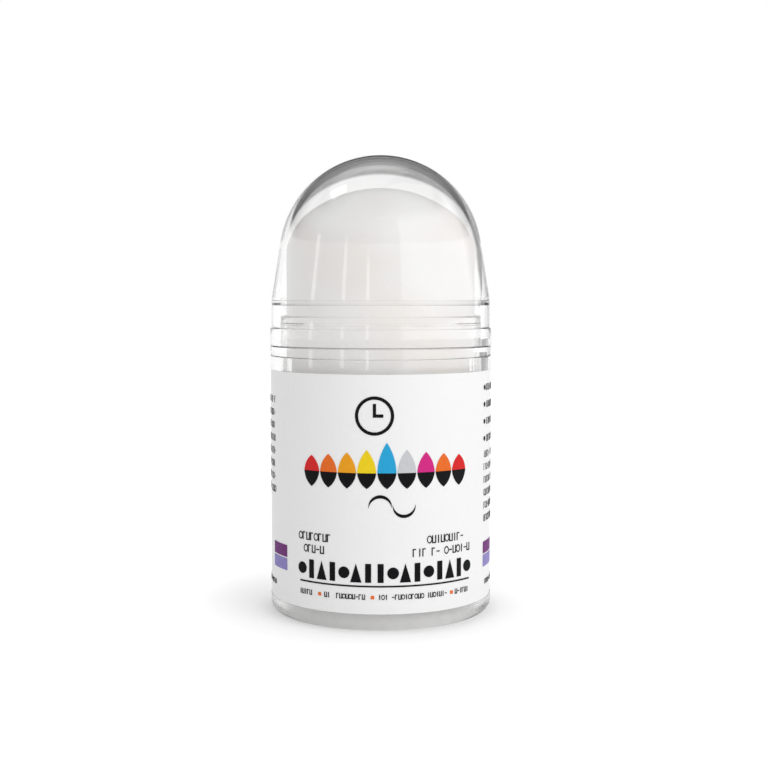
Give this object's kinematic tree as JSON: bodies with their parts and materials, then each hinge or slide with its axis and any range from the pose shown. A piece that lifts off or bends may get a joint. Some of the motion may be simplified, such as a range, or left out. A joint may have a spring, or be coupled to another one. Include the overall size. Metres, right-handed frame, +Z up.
{
  "type": "twist-up deodorant stick",
  "caption": "Twist-up mineral deodorant stick: clear domed cap over a stone on a screw carrier in a round labelled barrel.",
  "frame": {"origin": "middle of the base ring, on the surface that the stick stands on", "axes": "+Z up along the stick's axis; the front of the label faces -Y; +X to the right of the label"},
  "size_m": [0.051, 0.051, 0.1046],
  "materials": {
    "clear_cap": "clear moulded styrene, polished",
    "barrel_plastic": "clear grey moulded plastic",
    "label_film": "white printed film, satin",
    "alum": "cast mineral salt, translucent, polished dome",
    "carrier_plastic": "white moulded polypropylene",
    "screw_plastic": "white moulded acetal",
    "dial_plastic": "pale grey moulded polypropylene",
    "ink_black": "printed ink",
    "ink_purple": "printed ink",
    "ink_lavender": "printed ink",
    "ink_red": "printed ink",
    "ink_orange": "printed ink",
    "ink_amber": "printed ink",
    "ink_yellow": "printed ink",
    "ink_blue": "printed ink",
    "ink_grey": "printed ink",
    "ink_magenta": "printed ink"
  },
  "bodies": {
    "barrel": {"barrel": "barrel_plastic", "label": "label_film", "print_black": "ink_black", "print_purple": "ink_purple", "print_lavender": "ink_lavender", "print_red": "ink_red", "print_orange": "ink_orange", "print_amber": "ink_amber", "print_yellow": "ink_yellow", "print_blue": "ink_blue", "print_grey": "ink_grey", "print_magenta": "ink_magenta"},
    "dial": {"base_dial": "dial_plastic", "lead_screw": "screw_plastic"},
    "carrier": {"stone_carrier": "carrier_plastic", "alum_stone": "alum"},
    "cap": {"overcap": "clear_cap"}
  },
  "joints": [
    {"name": "dial_turn", "type": "hinge", "parent": "barrel", "child": "dial", "pos_m": [0, 0, 0.005], "axis": [0, 0, 1], "range_deg": [0, 1800]},
    {"name": "carrier_rise", "type": "slide", "parent": "barrel", "child": "carrier", "axis": [0, 0, 1], "range_m": [0, 0.045]},
    {"name": "cap_pull", "type": "slide", "parent": "carrier", "child": "cap", "axis": [0, 0, 1], "range_m": [0, 0.05]}
  ],
  "couplings": [
    {"joint": "dial_turn", "follows": "carrier_rise", "rad_per_m": 698.13}
  ]
}
